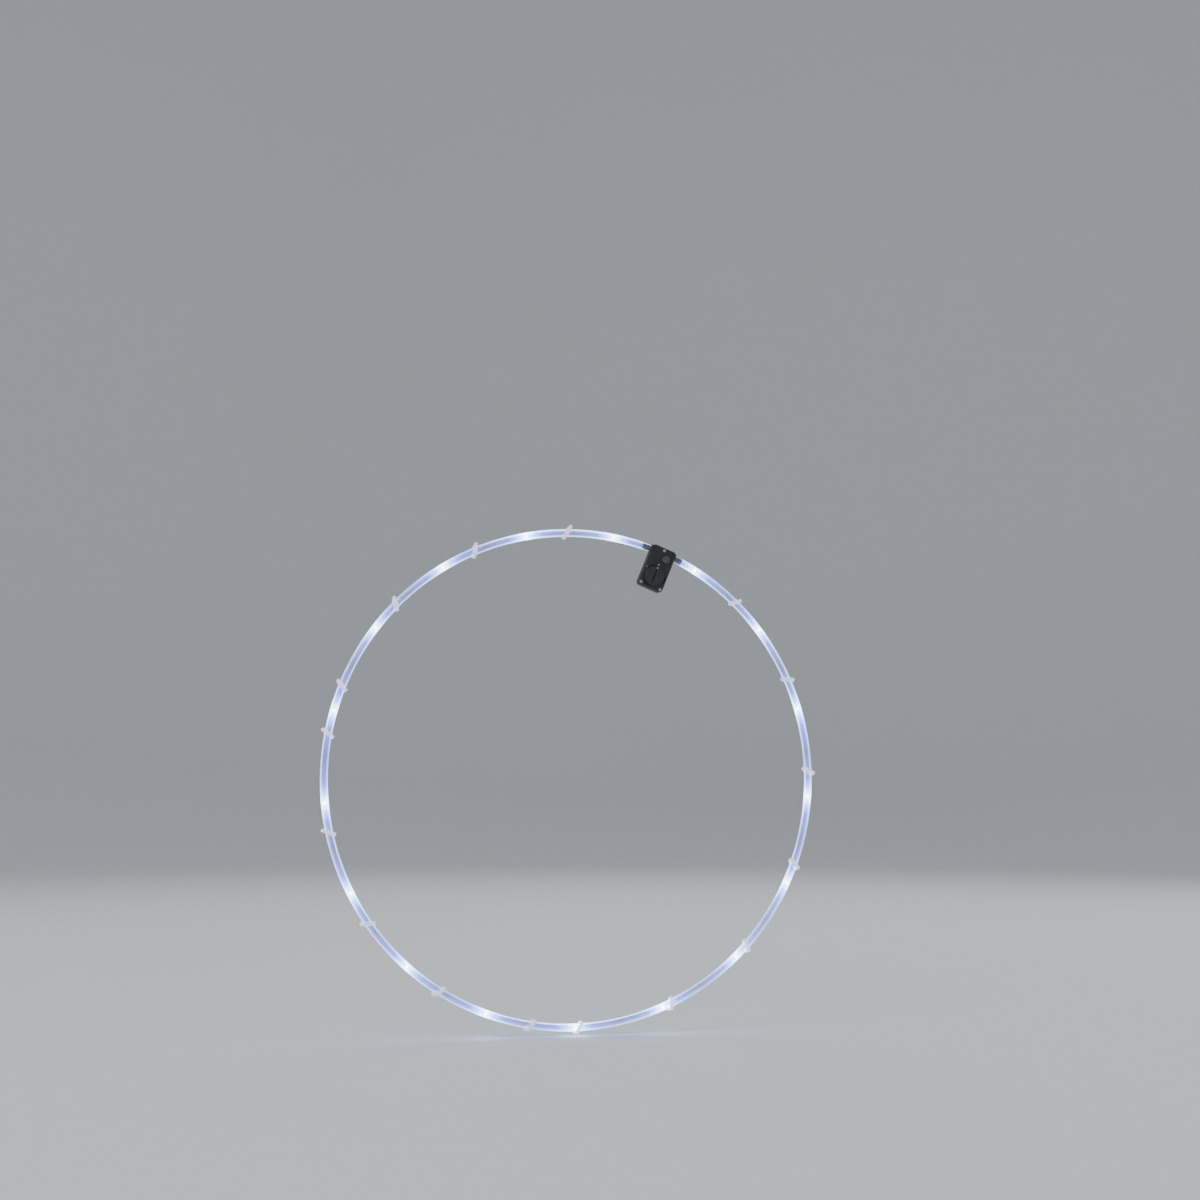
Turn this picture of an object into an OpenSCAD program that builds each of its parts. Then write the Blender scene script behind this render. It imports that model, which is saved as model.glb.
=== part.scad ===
// Light ring: a clear tube with lamps inside, bent into a ring and tied on all round.
// Slanted ties hold the tube to thin rods that run inwards from it to the middle.
// Both ends of the tube plug onto a slim power box, which clips onto one rod and points at the middle.
// The origin is at the ring's middle, in the middle plane of the tube. +Z is up and -Y is the front.

/* [Ring] */
// Diameter of the ring along the middle of the tube
ring_d = 520; // [420:1:640]
// Outside diameter of the clear tube
tube_d = 8; // [8:0.1:10]
// Wall of the clear tube
tube_wall = 1.25; // [1:0.05:1.25]
// Number of lamps in the tube
led_count = 17; // [9:1:25]
// Clock angle of the power box, clockwise from the top
box_clock = 22.25; // [0:0.25:359]
// Clock angle from the power box to the point midway between the last lamp and the first
lamp_shift = -1.75; // [-3:0.25:3]

/* [Lamps] */
// Length of a lamp board along the tube
lamp_board_l = 9; // [9:0.5:14]
// Width of a lamp board
lamp_board_w = 3.2; // [3:0.1:3.4]
// Thickness of a lamp board
lamp_board_t = 0.8; // [0.6:0.1:0.8]
// Width and length of a lamp's package
lamp_w = 2.8; // [2.7:0.1:3]
// Height of a lamp's package without its dome
lamp_h = 1.1; // [0.8:0.1:1.1]
// Diameter of a lamp's dome
lamp_dome_d = 2.6; // [2:0.1:2.6]
// Outside diameter of each wire in the tube
wire_d = 0.9; // [0.6:0.05:0.9]

/* [Ties] */
// Number of rods round the ring
spoke_count = 32; // [32:1:36]
// Clock angle from the power box to the rod that it clips onto
spoke_shift = -1.25; // [-1.5:0.25:1.5]
// Diameter of a rod
spoke_d = 2; // [1.6:0.1:2.4]
// Width of a tie's band
tie_w = 3.6; // [2.5:0.1:4.8]
// Thickness of a tie's band
tie_t = 1.1; // [0.9:0.1:1.3]
// Slant of a tie across the tube, in degrees
tie_slant = 30; // [25:1:40]
// Length of the cut tail that stands out of a tie's head
tail_l = 6; // [3:0.5:12]

/* [Power box] */
// Length of the box along the rod
box_l = 47; // [47:0.5:60]
// Radius of the box's corners
box_corner = 4; // [3:0.25:5]
// Bevel round the outer edges of the box
box_bevel = 0.8; // [0.4:0.1:1.2]
// Thinnest wall of the box
box_wall = 1.6; // [1.4:0.1:2.2]
// Thickness of the front plate
plate_t = 1.8; // [1.8:0.1:2.4]
// Diameter of a coin cell
cell_d = 20; // [16:0.1:20]
// Thickness of a coin cell
cell_t = 3.2; // [3.2:0.1:4]
// Turn of the battery cap from locked to open, in degrees
cap_turn = 60; // [45:5:60]
// Diameter of the push button
button_d = 8.4; // [7:0.1:9]
// Travel of the push button
button_travel = 0.7; // [0.4:0.1:0.9]

/* [Fits] */
// Gap at each side of a moving piece
run_gap = 0.3; // [0.2:0.05:0.4]
// Gap at each side of a piece that is pushed into place
push_gap = 0.05; // [0.03:0.01:0.08]
// Gap between a tie and the tube
tie_gap = 0.1; // [0.08:0.02:0.3]

/* [Hidden] */
$fn = 64;
ring_r = ring_d / 2;
tube_r = tube_d / 2;
bore_r = tube_r - tube_wall;
led_pitch = 360 / led_count;
spoke_r = spoke_d / 2;

// Clock angle covered by a length along the ring
function ring_angle(length) = length / ring_r * 180 / PI;
// Clock angle of a lamp, counted clockwise from the power box
function led_clock(i) = box_clock + lamp_shift + led_pitch * (i - 0.5);

// Battery bay and its cap, which set the width of the box
bay_r = cell_d / 2 + run_gap;
cap_r = bay_r + 0.9;
hole_r = cap_r + run_gap;
lug_r = hole_r + 0.8;
recess_r = lug_r + run_gap;
box_w = 2 * (recess_r + box_wall);

// Necks and spigots where the tube meets the box
neck_r = tube_r + 1;
neck_out = 0.6;
spigot_r = bore_r - push_gap;
spigot_l = 8;
spigot_wall = 0.8;
neck_angle = ring_angle(box_w / 2 + neck_out);
spigot_angle = neck_angle + ring_angle(spigot_l);

// Wires side by side behind the lamp boards
wire_r = wire_d / 2;
wire_apart = 1.6;
wire_y = 1.15;
wire_tail = 1.5;
lamp_board_back = wire_y - wire_r - push_gap;
lamp_board_front = lamp_board_back - lamp_board_t;
lamp_front = lamp_board_front - lamp_h;
lamp_dome_sink = 0.4;
resistor = [2, 0.5, 1.25];
resistor_x = 3.1;

// Ties: numbers of the tied rods, counted from the top, and those that pass behind the tube
box_spoke = 2;
tied_spokes = [0, 4, 6, 8, 10, 12, 14, 16, 17, 19, 21, 23, 25, 26, 28, 30];
spokes_behind = [0, 26, 28, 30];
function spoke_clock(k) = box_clock + spoke_shift + (k - box_spoke) * 360 / spoke_count;
function is_behind(k) = len(search(k, spokes_behind)) > 0;
tie_reach_tube = tube_r / cos(tie_slant) + tie_w / 2 * tan(tie_slant);
tie_reach_spoke = spoke_r / sin(tie_slant) + tie_w / 2 / tan(tie_slant);
tie_half = max(tie_reach_tube, tie_reach_spoke) + tie_gap;
tie_tube_y = tube_r + tie_gap;
tie_spoke_y = -tube_r - spoke_d - 2 * tie_gap;
tie_round_tube = 0.85 * tube_r;
tie_round_spoke = 1.5;
head_w = tie_w + 1.6;
head_h = 3.6;
head_l = 5.2;
head_taper = 0.8;
head_window = 0.35;
tail_w = tie_w - 0.2;
tail_lift = 0.4;

// Depths in the box, from the front to the back
lug_t = 1.2;
gasket_t = 0.6;
leaf_t = 0.3;
leaf_bump = 0.2;
front_y = -neck_r;
plate_y = front_y - gasket_t;
face_y = plate_y - plate_t;
lug_front = plate_y + 0.2;
lug_back = lug_front + lug_t;
cell_front = lug_back + 0.2;
floor_y = cell_front + 2 * cell_t + leaf_bump + leaf_t;
back_y = floor_y + box_wall;

// Small bevel where the body and the front plate meet the gasket
seam_bevel = 0.2;

// Cap of the battery bay
cap_x = -box_l / 2 + box_wall + recess_r;
cap_proud = 1;
cap_bevel = 0.6;
lug_count = 3;
lug_width = 26;
notch_width = 34;
seal_d = 1.5;
seal_r = hole_r - push_gap - seal_d / 2;
seal_y = plate_y - plate_t / 2;
slot_l = 13;
slot_w = 2;
slot_depth = 1.3;
flute_count = 20;
flute_r = 0.9;
flute_in = 0.45;

// Raised marks that show whether the cap is locked or open
mark_h = 0.3;
mark_d = 1.2;
mark_w = 0.6;
plate_mark_r = hole_r + 1.6;
cap_mark_r = cap_r - 2;

// Electronics bay, on the tube's side of the battery bay
bay_x0 = cap_x + recess_r + box_wall;
bay_x1 = box_l / 2 - box_wall;
bay_w = box_w - 2 * box_wall;
board_t = 0.8;
board_x0 = bay_x0 + 1.2;
board_x1 = bay_x1 - 3.9;
board_w = bay_w - 4;
board_y = floor_y - board_t;
button_x = (board_x0 + board_x1) / 2;
button_z = -bay_w / 2 + button_d / 2 + 3.2;
button_proud = 1.4;
flange_d = button_d + 2.2;
flange_t = 0.8;
flange_back = plate_y + flange_t;
switch_w = 6;
switch_h = 4;
switch_front = board_y - switch_h;
stem_d = 3;
stem_in = 0.8;
stem_room = 0.3;
groove_r = flange_d / 2 + 0.5;
groove_w = 0.8;
groove_depth = 0.4;
chip = [5, 1.5, 4];
chip_z = board_w / 2 - 4.4;
leg_count = 4;
leg_pitch = 1.27;
leg_size = [0.45, 0.25, 1.1];

// Contacts of the battery bay
leaf_w = 3;
leaf_z = cell_d / 4;
leaf_bump_d = 2.4;
leaf_pad = 2;
clip_t = 0.3;
clip_w = 5;
clip_touch = 0.1;
clip_front = cell_front + 0.4;
clip_step = cell_front + cell_t - 0.4;
clip_x = cap_x + cell_d / 2 + clip_touch;
clip_foot = board_x0 + 0.7;

// Screws of the front plate: two at the inner end and one at the outer end
screw_d = 1.6;
screw_l = 6;
screw_head_d = 3.2;
screw_head_t = 1.2;
screw_inset = 2.9;
screw_places = [
    [-box_l / 2 + screw_inset, -box_w / 2 + screw_inset],
    [-box_l / 2 + screw_inset, box_w / 2 - screw_inset],
    [box_l / 2 - screw_inset, 0]
];
boss_r = 2.3;
cross_l = 1.9;
cross_w = 0.45;
cross_depth = 0.7;

// Clip on the back of the box that snaps onto a rod
snap_l = 16;
snap_wall = 1.4;
snap_mouth = 0.75 * spoke_d;
snap_flare = 0.9;
snap_y = back_y + spoke_r + 0.6;
snap_z = neck_r - box_l / 2 - snap_l / 2;

led_names = [for (i = [1 : led_count]) str("led_", i < 10 ? "0" : "", i)];

// Places a piece on the ring: X runs clockwise along it, Y to the back, Z outwards from the tube's middle
module at_clock(a) {
    rotate([0, a, 0])
        translate([0, 0, ring_r])
            children();
}

// Places a piece in the power box: X runs outwards along it, Y to the back, Z across it
module in_box() {
    at_clock(box_clock)
        translate([0, 0, neck_r - box_l / 2])
            rotate([0, -90, 0])
                children();
}

// Turns a flat profile, radius across and depth up, round the ring's axis between two clock angles
module sweep_clock(a0, a1) {
    rotate([-90, 0, 0])
        rotate([0, 0, a0 - 90])
            rotate_extrude(angle = a1 - a0)
                children();
}

// Round bar that follows the ring between two clock angles
module ring_bar(r, a0, a1, out = 0, back = 0) {
    sweep_clock(a0, a1)
        translate([ring_r + out, back])
            circle(r);
}

// Flat shape in X and Z, given a thickness between two depths
module slab(y0, y1) {
    translate([0, y1, 0])
        rotate([90, 0, 0])
            linear_extrude(y1 - y0)
                children();
}

// Round bar along the depth
module bar(x, z, r, y0, y1) {
    translate([x, y1, z])
        rotate([90, 0, 0])
            cylinder(r = r, h = y1 - y0);
}

// Profile turned about the cap's axis: radius across, depth towards the front
module turned(y, a0 = 0, width = 360) {
    translate([cap_x, y, 0])
        rotate([90, 0, 0])
            rotate([0, 0, a0])
                rotate_extrude(angle = width)
                    children();
}

// Profile of a moulded block with bevels at its front and back: half width across, depth up
function block_profile(half, y0, y1, b0, b1) = [
    [-half + b0, y0],
    [half - b0, y0],
    [half, y0 + b0],
    [half, y1 - b1],
    [half - b1, y1],
    [-half + b1, y1],
    [-half, y1 - b1],
    [-half, y0 + b0]
];

// Block with the box's outline between two depths, with bevelled edges and round corners
module moulded_block(y0, y1, b0, b1) {
    mid_x = box_l / 2 - box_corner;
    mid_z = box_w / 2 - box_corner;
    translate([0, 0, -mid_z])
        linear_extrude(2 * mid_z)
            polygon(block_profile(box_l / 2, y0, y1, b0, b1));
    rotate([0, 90, 0])
        translate([0, 0, -mid_x])
            linear_extrude(2 * mid_x)
                polygon(block_profile(box_w / 2, y0, y1, b0, b1));
    for (x = [-1, 1], z = [-1, 1])
        translate([x * mid_x, 0, z * mid_z])
            rotate([-90, 0, 0])
                rotate_extrude()
                    polygon([
                        [0, y0],
                        [box_corner - b0, y0],
                        [box_corner, y0 + b0],
                        [box_corner, y1 - b1],
                        [box_corner - b1, y1],
                        [0, y1]
                    ]);
}

// Flat shape in X and depth, given a width around one height
module strip(z, w) {
    translate([0, 0, z - w / 2])
        linear_extrude(w)
            children();
}

// Corner of a rounded outline as points on an arc
function corner(x, y, r, a0, steps = 6) = [
    for (i = [0 : steps]) [x + r * cos(a0 + 90 * i / steps), y + r * sin(a0 + 90 * i / steps)]
];

// Outline of a tie's loop, grown by a thickness: depth across, slanted height up
function tie_outline(grow) =
    let (y0 = tie_spoke_y, y1 = tie_tube_y, rs = tie_round_spoke, rt = tie_round_tube, h = tie_half)
    concat(
        corner(y1 - rt, h - rt, rt + grow, 0),
        corner(y0 + rs, h - rs, rs + grow, 90),
        corner(y0 + rs, rs - h, rs + grow, 180),
        corner(y1 - rt, rt - h, rt + grow, 270));

module light_tube() {
    color("lightcyan")
        sweep_clock(box_clock + neck_angle, box_clock + 360 - neck_angle)
            translate([ring_r, 0])
                difference() {
                    circle(tube_r);
                    circle(bore_r);
                }
}

// Wire from the power box to just past the last lamp
module tube_wire(side) {
    start = box_clock + ring_angle(board_w / 2 + run_gap);
    end = led_clock(led_count) + ring_angle(lamp_board_l / 2 + wire_tail);
    ring_bar(wire_r, start, end, side * wire_apart / 2, wire_y);
}

module feed_wire() {
    color("firebrick")
        tube_wire(1);
}

module return_wire() {
    color("black")
        tube_wire(-1);
}

module lamp_boards() {
    color("darkgreen")
        for (i = [1 : led_count])
            at_clock(led_clock(i))
                translate([-lamp_board_l / 2, lamp_board_front, -lamp_board_w / 2])
                    cube([lamp_board_l, lamp_board_t, lamp_board_w]);
}

module lamp_resistors() {
    color("dimgray")
        for (i = [1 : led_count])
            at_clock(led_clock(i))
                translate([resistor_x - resistor[0] / 2, lamp_board_front - resistor[1], -resistor[2] / 2])
                    cube(resistor);
}

// Lamp: a square package with a round dome that faces the front
module led(i) {
    dome_r = lamp_dome_d / 2;
    color("white")
        at_clock(led_clock(i)) {
            translate([-lamp_w / 2, lamp_front, -lamp_w / 2])
                cube([lamp_w, lamp_h, lamp_w]);
            intersection() {
                translate([0, lamp_front + lamp_dome_sink, 0])
                    sphere(dome_r);
                translate([-lamp_w, lamp_front - dome_r, -lamp_w])
                    cube([2 * lamp_w, dome_r + lamp_h / 2, 2 * lamp_w]);
            }
        }
}

// Tie: a slanted loop round the tube and a rod, with its head on the side away from the rod
module zip_tie() {
    outer = tie_outline(tie_t);
    inner = tie_outline(0);
    n = len(outer);
    rotate([0, tie_slant, 0]) {
        rotate([90, 0, 90])
            linear_extrude(tie_w, center = true)
                polygon(concat(outer, inner), [[for (i = [0 : n - 1]) i], [for (i = [0 : n - 1]) n + i]]);
        tie_head();
        translate([-tail_w / 2, tie_tube_y + tie_t + tail_lift, 0])
            cube([tail_w, tie_t, head_l / 2 + tail_l]);
    }
}

// Head of a tie: a block that narrows towards its top, with a window that the tail comes out of
module tie_head() {
    low = tie_tube_y + tie_t / 2;
    top = low + head_h;
    half = head_l / 2;
    window_w = tail_w + 2 * head_window;
    difference() {
        translate([-head_w / 2, 0, 0])
            rotate([90, 0, 90])
                linear_extrude(head_w)
                    polygon([[low, -half], [low, half], [top - head_taper, half], [top, half - head_taper],
                        [top, head_taper - half], [top - head_taper, -half]]);
        translate([-window_w / 2, tie_tube_y + tie_t + tail_lift - head_window, half - head_taper])
            cube([window_w, tie_t + 2 * head_window, head_taper + 1]);
    }
}

module zip_ties() {
    color("ivory")
        for (k = tied_spokes)
            at_clock(spoke_clock(k))
                mirror([0, is_behind(k) ? 1 : 0, 0])
                    zip_tie();
}

// Outline of the box seen from the front: a rectangle with round corners
module box_outline() {
    square([box_l - 2 * box_corner, box_w], center = true);
    square([box_l, box_w - 2 * box_corner], center = true);
    for (x = [-1, 1], z = [-1, 1])
        translate([x * (box_l / 2 - box_corner), z * (box_w / 2 - box_corner)])
            circle(box_corner);
}

module screw_circles(r) {
    for (place = screw_places)
        translate(place)
            circle(r);
}

// Opening of the electronics bay, with a boss left in it for the screw at the outer end
module bay_outline() {
    difference() {
        translate([bay_x0, -bay_w / 2])
            square([bay_x1 - bay_x0, bay_w]);
        translate(screw_places[2])
            circle(boss_r);
        translate([screw_places[2][0], -boss_r])
            square([screw_inset, 2 * boss_r]);
    }
}

// Necks that the tube's ends butt against and the spigots inside the tube
module box_necks() {
    inside = ring_angle(bay_w / 2);
    ring_bar(neck_r, box_clock + inside, box_clock + neck_angle);
    ring_bar(neck_r, box_clock - neck_angle, box_clock - inside);
    ring_bar(spigot_r, box_clock + inside, box_clock + spigot_angle);
    ring_bar(spigot_r, box_clock - spigot_angle, box_clock - inside);
}

// Snap clip for a rod, open to the back
module spoke_snap() {
    half = spoke_r + snap_wall;
    translate([0, 0, snap_z])
        difference() {
            linear_extrude(snap_l)
                union() {
                    translate([0, snap_y])
                        circle(half);
                    translate([-half, back_y - box_wall / 2])
                        square([2 * half, snap_y - back_y + box_wall / 2]);
                }
            translate([0, snap_y, -1])
                cylinder(r = spoke_r, h = snap_l + 2);
            translate([0, 0, -1])
                linear_extrude(snap_l + 2)
                    polygon([
                        [-snap_mouth / 2, snap_y],
                        [snap_mouth / 2, snap_y],
                        [snap_mouth / 2, snap_y + half - snap_flare],
                        [snap_mouth / 2 + snap_flare, snap_y + half],
                        [-snap_mouth / 2 - snap_flare, snap_y + half],
                        [-snap_mouth / 2, snap_y + half - snap_flare]
                    ]);
        }
}

// Gap in the wall between the two bays for the positive clip
module clip_passage() {
    translate([cap_x, front_y - 1, -clip_w / 2 - run_gap])
        cube([bay_x0 - cap_x + 1, clip_step + run_gap - front_y + 1, clip_w + 2 * run_gap]);
}

// Gap in the same wall for the negative leaf
module leaf_passage() {
    translate([cap_x, floor_y - leaf_t - leaf_bump, leaf_z - leaf_w / 2 - run_gap])
        cube([bay_x0 - cap_x + 1, leaf_t + leaf_bump, leaf_w + 2 * run_gap]);
}

module box_body() {
    color("dimgray")
        union() {
            difference() {
                union() {
                    in_box()
                        moulded_block(front_y, back_y, seam_bevel, box_bevel);
                    box_necks();
                }
                in_box() {
                    bar(cap_x, 0, bay_r, front_y - 1, floor_y);
                    bar(cap_x, 0, recess_r, front_y - 1, lug_back + run_gap);
                    slab(front_y - 1, floor_y)
                        bay_outline();
                    slab(front_y - 1, front_y + screw_l)
                        screw_circles(screw_d / 2 + push_gap);
                    clip_passage();
                    leaf_passage();
                }
                ring_bar(spigot_r - spigot_wall, box_clock + ring_angle(bay_w / 2 - 1),
                    box_clock + spigot_angle + ring_angle(1));
            }
            at_clock(spoke_clock(box_spoke))
                spoke_snap();
        }
}

module front_gasket() {
    color("slategray")
        in_box()
            slab(plate_y, front_y)
                difference() {
                    box_outline();
                    translate([cap_x, 0])
                        circle(recess_r);
                    bay_outline();
                    screw_circles(screw_d / 2 + run_gap);
                }
}

// Shallow groove in the front plate round the push button
module button_groove() {
    translate([button_x, face_y + groove_depth, button_z])
        rotate([90, 0, 0])
            rotate_extrude()
                translate([groove_r, 0])
                    square([groove_w, groove_depth + 1]);
}

// Angle of a lug of the battery cap when the cap is locked
function lug_angle(i) = 90 + 360 / lug_count * i;

// Marks on the front plate: a dot where the cap is locked and a bar where it is open
module plate_marks() {
    bar(cap_x + plate_mark_r, 0, mark_d / 2, face_y - mark_h, face_y + mark_h);
    translate([cap_x, 0, 0])
        rotate([0, -cap_turn, 0])
            translate([plate_mark_r - mark_d / 2, face_y - mark_h, -mark_w / 2])
                cube([mark_d, 2 * mark_h, mark_w]);
}

// Front plate, with notches that let the cap's lugs through when the cap is turned open
module front_plate() {
    color("dimgray")
        in_box() {
            difference() {
                moulded_block(face_y, plate_y, box_bevel, seam_bevel);
                bar(cap_x, 0, hole_r, face_y - 1, plate_y + 1);
                button_groove();
                for (i = [0 : lug_count - 1])
                    turned(plate_y + 1, lug_angle(i) + cap_turn - notch_width / 2, notch_width)
                        translate([hole_r - 0.5, 0])
                            square([lug_r + run_gap / 2 - hole_r + 0.5, plate_t + 2]);
                bar(button_x, button_z, button_d / 2 + run_gap, face_y - 1, plate_y + 1);
                slab(face_y - 1, plate_y + 1)
                    screw_circles(screw_d / 2 + run_gap);
                slab(face_y - 1, face_y + screw_head_t)
                    screw_circles(screw_head_d / 2 + push_gap);
            }
            plate_marks();
        }
}

// Screw with a cross recess, sunk into the front plate
module plate_screw() {
    difference() {
        union() {
            bar(0, 0, screw_head_d / 2, face_y + push_gap, face_y + screw_head_t);
            bar(0, 0, screw_d / 2, face_y + screw_head_t / 2, front_y + screw_l - 0.5);
        }
        for (a = [0, 90])
            rotate([0, a, 0])
                translate([-cross_l / 2, face_y - 1, -cross_w / 2])
                    cube([cross_l, cross_depth + 1, cross_w]);
    }
}

module plate_screws() {
    color("silver")
        in_box()
            for (place = screw_places)
                translate([place[0], 0, place[1]])
                    plate_screw();
}

// Cap of the battery bay: a plug with a coin slot, a groove for its seal and lugs behind the front plate
module battery_cap() {
    cap_face = face_y - cap_proud;
    cap_depth = lug_back - cap_face;
    color("gray")
        in_box()
            difference() {
                union() {
                    turned(lug_back)
                        polygon([
                            [0, 0],
                            [cap_r, 0],
                            [cap_r, cap_depth - cap_bevel],
                            [cap_r - cap_bevel, cap_depth],
                            [0, cap_depth]
                        ]);
                    for (i = [0 : lug_count - 1])
                        turned(lug_back, lug_angle(i) - lug_width / 2, lug_width)
                            translate([bay_r, 0])
                                square([lug_r - bay_r, lug_t]);
                    bar(cap_x + cap_mark_r, 0, mark_d / 2, cap_face - mark_h, cap_face + mark_h);
                }
                turned(seal_y + seal_d / 2 + push_gap)
                    translate([seal_r - seal_d / 2 - push_gap, 0])
                        square([cap_r, seal_d + 2 * push_gap]);
                translate([cap_x - slot_l / 2, cap_face - 1, -slot_w / 2])
                    cube([slot_l, slot_depth + 1, slot_w]);
                for (i = [0 : flute_count - 1])
                    translate([cap_x, 0, 0])
                        rotate([0, 360 / flute_count * (i + 0.5), 0])
                            bar(cap_r + flute_r - flute_in, 0, flute_r, cap_face - 1, face_y - push_gap);
            }
}

module cap_seal() {
    color("black")
        in_box()
            turned(seal_y)
                translate([seal_r, 0])
                    circle(seal_d / 2);
}

// Coin cell: a can with a smaller negative face set in its back
module coin_cell(y0) {
    lip = 0.25;
    color("silver")
        in_box() {
            bar(cap_x, 0, cell_d / 2, y0, y0 + cell_t - lip);
            bar(cap_x, 0, cell_d / 2 - 1.1, y0, y0 + cell_t);
        }
}

module coin_cell_front() {
    coin_cell(cell_front);
}

module coin_cell_back() {
    coin_cell(cell_front + cell_t);
}

// Leaf under the cells that leads to the circuit board
module negative_leaf() {
    pad_x = board_x0 - 2 * leaf_t;
    color("goldenrod")
        in_box() {
            strip(leaf_z, leaf_w)
                union() {
                    translate([cap_x, floor_y - leaf_t])
                        square([pad_x - cap_x + leaf_t, leaf_t]);
                    translate([pad_x, board_y - leaf_t])
                        square([leaf_t, floor_y - board_y + leaf_t]);
                    translate([pad_x, board_y - leaf_t])
                        square([leaf_pad + 2 * leaf_t, leaf_t]);
                }
            bar(cap_x + leaf_bump_d, leaf_z, leaf_bump_d / 2, floor_y - leaf_t - leaf_bump,
                floor_y - leaf_t / 2);
        }
}

// Clip that touches the edge of the front cell and leads to the circuit board
module positive_clip() {
    color("goldenrod")
        in_box()
            strip(0, clip_w)
                union() {
                    translate([clip_x, clip_front])
                        square([clip_t, clip_step - clip_front]);
                    translate([clip_x, clip_step - clip_t])
                        square([clip_foot - clip_x + clip_t, clip_t]);
                    translate([clip_foot, clip_step - clip_t])
                        square([clip_t, board_y - clip_step + clip_t]);
                }
}

module circuit_board() {
    color("darkgreen")
        in_box()
            translate([board_x0, board_y, -board_w / 2])
                cube([board_x1 - board_x0, board_t, board_w]);
}

module driver_chip() {
    leg_x = -(leg_count - 1) / 2 * leg_pitch - leg_size[0] / 2;
    leg_z = chip[2] / 2 + leg_size[2] / 2 - 0.3;
    color("black")
        in_box()
            translate([button_x, board_y, chip_z]) {
                translate([-chip[0] / 2, -chip[1] - leg_size[1] / 2, -chip[2] / 2])
                    cube(chip);
                for (i = [0 : leg_count - 1], side = [-1, 1])
                    translate([leg_x + i * leg_pitch, -leg_size[1], side * leg_z - leg_size[2] / 2])
                        cube(leg_size);
            }
}

module switch_body() {
    color("dimgray")
        in_box()
            difference() {
                translate([button_x - switch_w / 2, switch_front, button_z - switch_w / 2])
                    cube([switch_w, switch_h, switch_w]);
                bar(button_x, button_z, stem_d / 2 + push_gap, switch_front - 1,
                    switch_front + stem_in + button_travel + stem_room);
            }
}

module switch_stem() {
    color("black")
        in_box()
            bar(button_x, button_z, stem_d / 2, flange_back, switch_front + stem_in);
}

// Rubber button with a dished face and a flange behind the front plate
module push_button() {
    dish_r = 14;
    dish_depth = 0.5;
    color("darkslategray")
        in_box()
            difference() {
                union() {
                    bar(button_x, button_z, button_d / 2, face_y - button_proud, flange_back);
                    bar(button_x, button_z, flange_d / 2, plate_y, flange_back);
                }
                translate([button_x, face_y - button_proud - dish_r + dish_depth, button_z])
                    sphere(dish_r);
            }
}

light_tube();
feed_wire();
return_wire();
lamp_boards();
lamp_resistors();
zip_ties();
box_body();
front_gasket();
front_plate();
plate_screws();
battery_cap();
cap_seal();
coin_cell_back();
coin_cell_front();
negative_leaf();
positive_clip();
circuit_board();
driver_chip();
switch_body();
switch_stem();
push_button();
for (i = [1 : led_count])
    led(i);
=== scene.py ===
import bpy
import bmesh
from math import cos, pi, radians, sin
from mathutils import Matrix, Vector


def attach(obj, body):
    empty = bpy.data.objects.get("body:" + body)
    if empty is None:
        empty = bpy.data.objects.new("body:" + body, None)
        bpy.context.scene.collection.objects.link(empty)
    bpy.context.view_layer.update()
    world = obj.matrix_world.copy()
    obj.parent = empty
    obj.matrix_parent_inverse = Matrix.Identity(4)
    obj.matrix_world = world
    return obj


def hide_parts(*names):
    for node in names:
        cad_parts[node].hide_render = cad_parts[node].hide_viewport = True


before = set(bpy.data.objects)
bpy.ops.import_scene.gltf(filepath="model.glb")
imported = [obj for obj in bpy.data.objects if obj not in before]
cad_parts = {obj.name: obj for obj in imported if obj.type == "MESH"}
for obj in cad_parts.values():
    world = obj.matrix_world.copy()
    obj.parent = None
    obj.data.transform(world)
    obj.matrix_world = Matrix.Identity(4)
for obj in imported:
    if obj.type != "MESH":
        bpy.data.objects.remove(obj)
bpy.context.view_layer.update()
print("frame loaded,", len(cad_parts), "nodes")

ringSize = {
    "radius": 0.260,  # middle of the tube
    "boxClock": 22.25,  # power box, clockwise from the top
    "boxGap": 3.2615,  # half the angle that the box takes out of the ring
    "boxInward": 0.0185,  # from the tube's middle in to the box's own origin
    "lampCount": 17,
    "lampShift": -1.75,  # box to the middle of the bay between the last lamp and the first
}
lampPitch = 360 / ringSize["lampCount"]


def onRing(clock):  # X runs clockwise along the ring, Y to the back, Z outwards
    return Matrix.Rotation(radians(clock), 4, "Y") @ Matrix.Translation((0, 0, ringSize["radius"]))


def inBox():  # X runs outwards along the power box, Y to the back, Z across it
    inward = Matrix.Translation((0, 0, -ringSize["boxInward"]))
    return onRing(ringSize["boxClock"]) @ inward @ Matrix.Rotation(radians(-90), 4, "Y")


def lampClock(number):
    return ringSize["boxClock"] + ringSize["lampShift"] + lampPitch * (number - 0.5)


# Helpers for meshes

def addPiece(name, bm, look, body, replaced, sharp=40):
    mesh = bpy.data.meshes.new(name)
    bm.to_mesh(mesh)
    bm.free()
    mesh.shade_smooth()
    mesh.set_sharp_from_angle(angle=radians(sharp))
    for finish in look if isinstance(look, list) else [look]:
        mesh.materials.append(finish)
    piece = bpy.data.objects.new(name, mesh)
    bpy.context.scene.collection.objects.link(piece)
    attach(piece, body)
    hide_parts(*replaced)
    return piece


def keepTemplate(name, bm):
    bmesh.ops.recalc_face_normals(bm, faces=bm.faces)
    mesh = bpy.data.meshes.new(name)
    bm.to_mesh(mesh)
    bm.free()
    return mesh


def setDown(bm, template, place):  # adds a template's copy to a mesh, moved to its place
    known = len(bm.verts)
    bm.from_mesh(template)
    bm.verts.ensure_lookup_table()
    bmesh.ops.transform(bm, matrix=place, verts=bm.verts[known:])


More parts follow.
